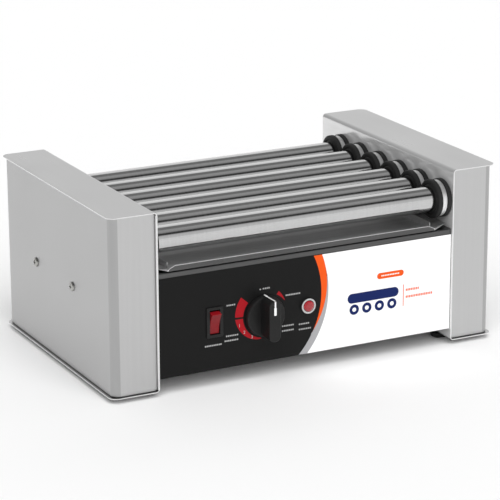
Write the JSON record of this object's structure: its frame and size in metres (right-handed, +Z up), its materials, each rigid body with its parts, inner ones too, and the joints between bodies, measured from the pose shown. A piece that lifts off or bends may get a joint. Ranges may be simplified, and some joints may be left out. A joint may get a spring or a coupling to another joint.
{
  "type": "hot dog roller grill",
  "caption": "Countertop roller grill for sausages: heated steel tubes turn between two sheet-metal end housings, over a pull-out drip tray, with a switch, heat knob and lamp in front.",
  "frame": {"origin": "on the surface it stands on, under the centre of the whole machine's width and depth (knob included)", "axes": "+X along the rollers to the operator's right, +Y from the front panel to the rear, +Z up"},
  "size_m": [0.445, 0.3038, 0.1925],
  "materials": {
    "stainless": "stainless sheet with a fine brushed grain",
    "chrome": "bright polished tube and trim",
    "zinc_steel": "zinc-plated steel",
    "chain_steel": "oiled roller chain",
    "element_sheath": "heat-darkened alloy sheath",
    "black_rubber": "matte black heat-resistant rubber",
    "black_plastic": "moulded black plastic with a fine grain",
    "printed_film": "printed polyester control label: black, orange, silver and white areas",
    "motor_paint": "dark grey motor enamel",
    "red_plastic": "translucent red moulding",
    "red_lens": "faceted red lamp lens"
  },
  "bodies": {
    "housing": {"left_end_frame": "stainless", "left_end_cover": "stainless", "cover_screw_left_front": "zinc_steel", "cover_screw_left_rear": "zinc_steel", "right_end_frame": "stainless", "right_end_cover": "stainless", "cover_screw_right_front": "zinc_steel", "cover_screw_right_rear": "zinc_steel", "foot_front_left": "black_rubber", "foot_front_right": "black_rubber", "foot_rear_left": "black_rubber", "foot_rear_right": "black_rubber", "front_panel": "stainless", "control_overlay": "printed_film", "base_chassis": "stainless", "tray_deck": "stainless", "cord_gland": "black_plastic", "switch_housing": "black_plastic", "heat_control": "black_plastic", "pilot_body": "chrome", "pilot_lens": "red_lens", "right_bearing_1": "black_rubber", "left_bearing_1": "black_rubber", "heating_element_1": "element_sheath", "right_bearing_2": "black_rubber", "left_bearing_2": "black_rubber", "heating_element_2": "element_sheath", "right_bearing_3": "black_rubber", "left_bearing_3": "black_rubber", "heating_element_3": "element_sheath", "right_bearing_4": "black_rubber", "left_bearing_4": "black_rubber", "heating_element_4": "element_sheath", "right_bearing_5": "black_rubber", "left_bearing_5": "black_rubber", "heating_element_5": "element_sheath", "right_bearing_6": "black_rubber", "left_bearing_6": "black_rubber", "heating_element_6": "element_sheath", "element_bracket_left": "zinc_steel", "element_bracket_right": "zinc_steel", "drive_chain": "chain_steel", "gearmotor": "motor_paint"},
    "roller_1_assembly": {"roller_1": "chrome", "sprocket_1": "zinc_steel"},
    "roller_2_assembly": {"roller_2": "chrome", "sprocket_2": "zinc_steel"},
    "roller_3_assembly": {"roller_3": "chrome", "sprocket_3": "zinc_steel"},
    "roller_4_assembly": {"roller_4": "chrome", "sprocket_4": "zinc_steel"},
    "roller_5_assembly": {"roller_5": "chrome", "sprocket_5": "zinc_steel"},
    "roller_6_assembly": {"roller_6": "chrome", "sprocket_6": "zinc_steel"},
    "motor_output": {"motor_output_sprocket": "zinc_steel"},
    "knob_and_shaft": {"heat_knob": "black_plastic", "control_shaft": "zinc_steel"},
    "rocker": {"switch_rocker": "red_plastic"},
    "tray": {"drip_tray": "stainless"}
  },
  "joints": [
    {"name": "roller_1_spin", "type": "hinge", "parent": "housing", "child": "roller_1_assembly", "pos_m": [0, -0.1081, 0.1585], "axis": [1, 0, 0], "continuous": true},
    {"name": "roller_2_spin", "type": "hinge", "parent": "housing", "child": "roller_2_assembly", "pos_m": [0, -0.0656, 0.1585], "axis": [1, 0, 0], "continuous": true},
    {"name": "roller_3_spin", "type": "hinge", "parent": "housing", "child": "roller_3_assembly", "pos_m": [0, -0.0231, 0.1585], "axis": [1, 0, 0], "continuous": true},
    {"name": "roller_4_spin", "type": "hinge", "parent": "housing", "child": "roller_4_assembly", "pos_m": [0, 0.0194, 0.1585], "axis": [1, 0, 0], "continuous": true},
    {"name": "roller_5_spin", "type": "hinge", "parent": "housing", "child": "roller_5_assembly", "pos_m": [0, 0.0619, 0.1585], "axis": [1, 0, 0], "continuous": true},
    {"name": "roller_6_spin", "type": "hinge", "parent": "housing", "child": "roller_6_assembly", "pos_m": [0, 0.1044, 0.1585], "axis": [1, 0, 0], "continuous": true},
    {"name": "motor_spin", "type": "hinge", "parent": "housing", "child": "motor_output", "pos_m": [0.18, -0.0016, 0.0755], "axis": [1, 0, 0], "continuous": true},
    {"name": "knob_turn", "type": "hinge", "parent": "housing", "child": "knob_and_shaft", "pos_m": [-0.0515, -0.1386, 0.068], "axis": [0, 1, 0], "range_deg": [0, 315]},
    {"name": "rocker_tilt", "type": "hinge", "parent": "housing", "child": "rocker", "pos_m": [-0.1077, -0.1249, 0.0694], "axis": [-1, 0, 0], "range_deg": [0, 34.3]},
    {"name": "tray_slide", "type": "slide", "parent": "housing", "child": "tray", "axis": [0, -1, 0], "range_m": [0, 0.25]}
  ],
  "couplings": [
    {"joint": "roller_2_spin", "follows": "roller_1_spin", "ratio": 1},
    {"joint": "roller_3_spin", "follows": "roller_1_spin", "ratio": 1},
    {"joint": "roller_4_spin", "follows": "roller_1_spin", "ratio": 1},
    {"joint": "roller_5_spin", "follows": "roller_1_spin", "ratio": 1},
    {"joint": "roller_6_spin", "follows": "roller_1_spin", "ratio": 1},
    {"joint": "motor_spin", "follows": "roller_1_spin", "ratio": 1}
  ]
}
